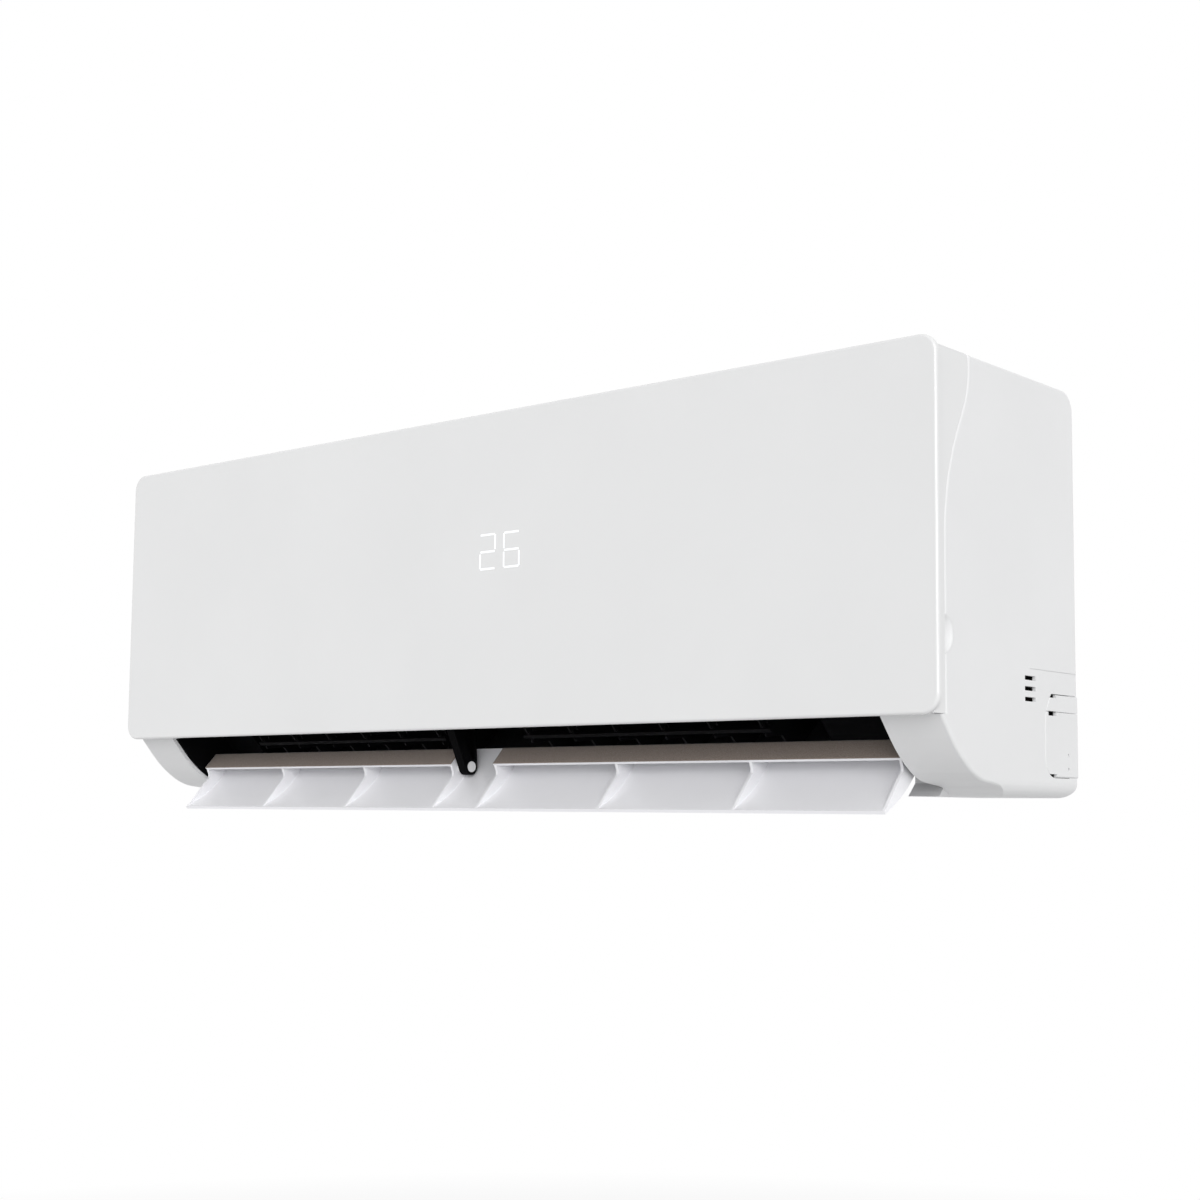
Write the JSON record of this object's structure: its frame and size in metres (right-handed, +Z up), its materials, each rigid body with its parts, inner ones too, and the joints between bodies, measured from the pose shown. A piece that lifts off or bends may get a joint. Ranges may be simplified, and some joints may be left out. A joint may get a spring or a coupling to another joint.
{
  "type": "mini split indoor unit",
  "caption": "Wall-hung air conditioner indoor unit with a flat hinged front panel, lit display, opening outlet flap, air vanes and cross-flow fan.",
  "frame": {"origin": "centre of the wall plate's screw pattern, on the face of the wall", "axes": "+X to the viewer's right along the unit, +Y into the wall, +Z up"},
  "size_m": [0.85, 0.197, 0.3054],
  "materials": {
    "panel_plastic": "gloss",
    "case_plastic": "satin",
    "flap_plastic": "satin",
    "felt": "flocked",
    "white_detail": "satin",
    "black_plastic": "matte",
    "vane_plastic": "matte",
    "fan_plastic": "matte",
    "zinc_sheet": "galvanised",
    "bright_steel": "bright",
    "fin_aluminium": "coated",
    "copper_tube": "drawn",
    "brass_fitting": "machined",
    "motor_shell": "painted",
    "rubber_seat": "matte",
    "digit_light": "lit",
    "circuit_board": "printed",
    "terminal_plastic": "matte",
    "filter_plastic": "matte",
    "bearing_bronze": "sintered"
  },
  "bodies": {
    "root": {"bearing_rubber": "rubber_seat", "button_switch": "black_plastic", "cable_clamp": "black_plastic", "case_screws": "bright_steel", "coil_end_plates": "zinc_sheet", "coil_tubes": "copper_tube", "control_board": "circuit_board", "drain_elbow": "white_detail", "drain_pan": "white_detail", "electrical_box": "black_plastic", "electrical_cover": "zinc_sheet", "fan_bearing": "bearing_bronze", "fan_motor": "motor_shell", "flap_bracket": "black_plastic", "flap_bushes": "white_detail", "flap_motor": "zinc_sheet", "front_frame": "case_plastic", "front_lower_fins": "fin_aluminium", "front_upper_fins": "fin_aluminium", "gas_pipe": "copper_tube", "gas_union": "brass_fitting", "inlet_grille": "case_plastic", "left_air_filter": "filter_plastic", "left_pipe_knockouts": "case_plastic", "liquid_pipe": "copper_tube", "liquid_union": "brass_fitting", "motor_bracket": "zinc_sheet", "outlet_duct": "black_plastic", "pipe_clamp": "black_plastic", "rear_chassis": "black_plastic", "rear_fins": "fin_aluminium", "right_air_filter": "filter_plastic", "right_pipe_knockouts": "case_plastic", "terminal_block": "terminal_plastic", "vane_steppers": "zinc_sheet", "wall_plate": "zinc_sheet"},
    "panel": {"front_panel": "panel_plastic", "display_segments": "digit_light", "display_board": "black_plastic"},
    "flap": {"outlet_flap": "flap_plastic", "flap_blades": "flap_plastic", "flock_strips": "felt", "flap_centre_pin": "white_detail"},
    "fan": {"crossflow_fan": "fan_plastic", "fan_shaft": "bright_steel"},
    "button": {"manual_button": "case_plastic"},
    "left_link": {"left_link_bar": "vane_plastic"},
    "right_link": {"right_link_bar": "vane_plastic"},
    "left_vane_1": {"left_vane_1": "vane_plastic"},
    "left_vane_2": {"left_vane_2": "vane_plastic"},
    "left_vane_3": {"left_vane_3": "vane_plastic"},
    "left_vane_4": {"left_vane_4": "vane_plastic"},
    "left_vane_5": {"left_vane_5": "vane_plastic"},
    "left_vane_6": {"left_vane_6": "vane_plastic"},
    "right_vane_1": {"right_vane_1": "vane_plastic"},
    "right_vane_2": {"right_vane_2": "vane_plastic"},
    "right_vane_3": {"right_vane_3": "vane_plastic"},
    "right_vane_4": {"right_vane_4": "vane_plastic"},
    "right_vane_5": {"right_vane_5": "vane_plastic"},
    "right_vane_6": {"right_vane_6": "vane_plastic"}
  },
  "joints": [
    {"name": "front_panel_hinge", "type": "hinge", "parent": "root", "child": "panel", "pos_m": [0, -0.152, 0.139], "axis": [-1, 0, 0], "range_deg": [0, 60]},
    {"name": "outlet_flap_hinge", "type": "hinge", "parent": "root", "child": "flap", "pos_m": [0, -0.139, -0.122], "axis": [1, 0, 0], "range_deg": [-78, 0]},
    {"name": "fan_spin", "type": "hinge", "parent": "root", "child": "fan", "pos_m": [0, -0.085, -0.007], "axis": [1, 0, 0], "continuous": true},
    {"name": "left_vane_1_turn", "type": "hinge", "parent": "root", "child": "left_vane_1", "pos_m": [-0.3, -0.08771, -0.10593], "axis": [0, -0.6691, 0.7431], "range_deg": [-30, 30]},
    {"name": "left_vane_2_turn", "type": "hinge", "parent": "root", "child": "left_vane_2", "pos_m": [-0.255, -0.08771, -0.10593], "axis": [0, -0.6691, 0.7431], "range_deg": [-30, 30]},
    {"name": "left_vane_3_turn", "type": "hinge", "parent": "root", "child": "left_vane_3", "pos_m": [-0.21, -0.08771, -0.10593], "axis": [0, -0.6691, 0.7431], "range_deg": [-30, 30]},
    {"name": "left_vane_4_turn", "type": "hinge", "parent": "root", "child": "left_vane_4", "pos_m": [-0.165, -0.08771, -0.10593], "axis": [0, -0.6691, 0.7431], "range_deg": [-30, 30]},
    {"name": "left_vane_5_turn", "type": "hinge", "parent": "root", "child": "left_vane_5", "pos_m": [-0.12, -0.08771, -0.10593], "axis": [0, -0.6691, 0.7431], "range_deg": [-30, 30]},
    {"name": "left_vane_6_turn", "type": "hinge", "parent": "root", "child": "left_vane_6", "pos_m": [-0.075, -0.08771, -0.10593], "axis": [0, -0.6691, 0.7431], "range_deg": [-30, 30]},
    {"name": "left_link_pin", "type": "hinge", "parent": "left_vane_1", "child": "left_link", "pos_m": [-0.3, -0.13684, -0.09769], "axis": [0, -0.6691, 0.7431], "range_deg": [-30, 30]},
    {"name": "right_vane_1_turn", "type": "hinge", "parent": "root", "child": "right_vane_1", "pos_m": [0.024, -0.08771, -0.10593], "axis": [0, -0.6691, 0.7431], "range_deg": [-30, 30]},
    {"name": "right_vane_2_turn", "type": "hinge", "parent": "root", "child": "right_vane_2", "pos_m": [0.069, -0.08771, -0.10593], "axis": [0, -0.6691, 0.7431], "range_deg": [-30, 30]},
    {"name": "right_vane_3_turn", "type": "hinge", "parent": "root", "child": "right_vane_3", "pos_m": [0.114, -0.08771, -0.10593], "axis": [0, -0.6691, 0.7431], "range_deg": [-30, 30]},
    {"name": "right_vane_4_turn", "type": "hinge", "parent": "root", "child": "right_vane_4", "pos_m": [0.159, -0.08771, -0.10593], "axis": [0, -0.6691, 0.7431], "range_deg": [-30, 30]},
    {"name": "right_vane_5_turn", "type": "hinge", "parent": "root", "child": "right_vane_5", "pos_m": [0.204, -0.08771, -0.10593], "axis": [0, -0.6691, 0.7431], "range_deg": [-30, 30]},
    {"name": "right_vane_6_turn", "type": "hinge", "parent": "root", "child": "right_vane_6", "pos_m": [0.249, -0.08771, -0.10593], "axis": [0, -0.6691, 0.7431], "range_deg": [-30, 30]},
    {"name": "right_link_pin", "type": "hinge", "parent": "right_vane_1", "child": "right_link", "pos_m": [0.024, -0.13684, -0.09769], "axis": [0, -0.6691, 0.7431], "range_deg": [-30, 30]},
    {"name": "manual_button_press", "type": "slide", "parent": "root", "child": "button", "axis": [0, 1, 0], "range_m": [0, 0.0015], "stiffness_N_per_m": 300, "springref_m": -0.002}
  ],
  "couplings": [
    {"joint": "left_vane_2_turn", "follows": "left_vane_1_turn", "ratio": 1},
    {"joint": "left_vane_3_turn", "follows": "left_vane_1_turn", "ratio": 1},
    {"joint": "left_vane_4_turn", "follows": "left_vane_1_turn", "ratio": 1},
    {"joint": "left_vane_5_turn", "follows": "left_vane_1_turn", "ratio": 1},
    {"joint": "left_vane_6_turn", "follows": "left_vane_1_turn", "ratio": 1},
    {"joint": "left_link_pin", "follows": "left_vane_1_turn", "ratio": -1},
    {"joint": "right_vane_2_turn", "follows": "right_vane_1_turn", "ratio": 1},
    {"joint": "right_vane_3_turn", "follows": "right_vane_1_turn", "ratio": 1},
    {"joint": "right_vane_4_turn", "follows": "right_vane_1_turn", "ratio": 1},
    {"joint": "right_vane_5_turn", "follows": "right_vane_1_turn", "ratio": 1},
    {"joint": "right_vane_6_turn", "follows": "right_vane_1_turn", "ratio": 1},
    {"joint": "right_link_pin", "follows": "right_vane_1_turn", "ratio": -1}
  ]
}
